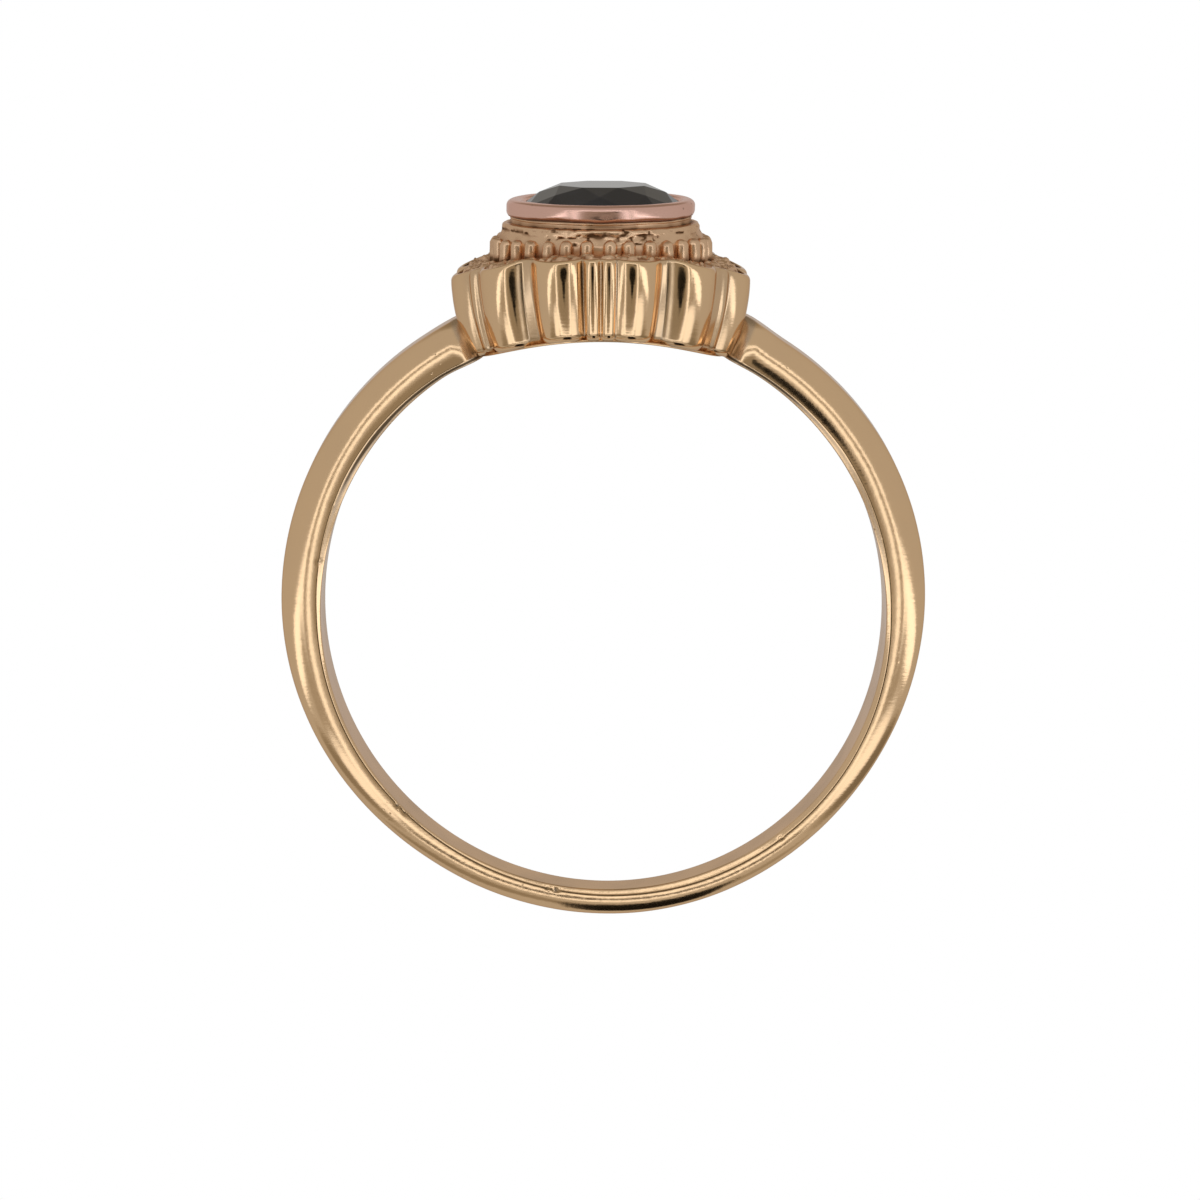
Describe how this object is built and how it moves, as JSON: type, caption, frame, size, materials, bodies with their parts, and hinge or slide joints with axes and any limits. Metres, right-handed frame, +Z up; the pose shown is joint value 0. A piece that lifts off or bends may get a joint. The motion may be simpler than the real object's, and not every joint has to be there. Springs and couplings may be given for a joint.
{
  "type": "gold ring with a bezel-set sapphire",
  "caption": "Ring lying on its side: tapering band, fluted cup gallery with a grain row and collar, and a round faceted sapphire in a rub-over bezel.",
  "frame": {"origin": "on the surface that the ring lies on, under the middle of its bounding box", "axes": "+Y along the ring's length, from the bottom of the band towards the stone; +X across the band; +Z up from the surface, with the pictured side of the ring facing up"},
  "size_m": [0.0196, 0.0224, 0.0088],
  "materials": {
    "yellow_gold": "polished",
    "rose_gold": "satin",
    "sapphire": "gloss"
  },
  "bodies": {
    "root": {"ring_mount": "yellow_gold", "bezel": "rose_gold", "sapphire": "sapphire"}
  },
  "joints": []
}
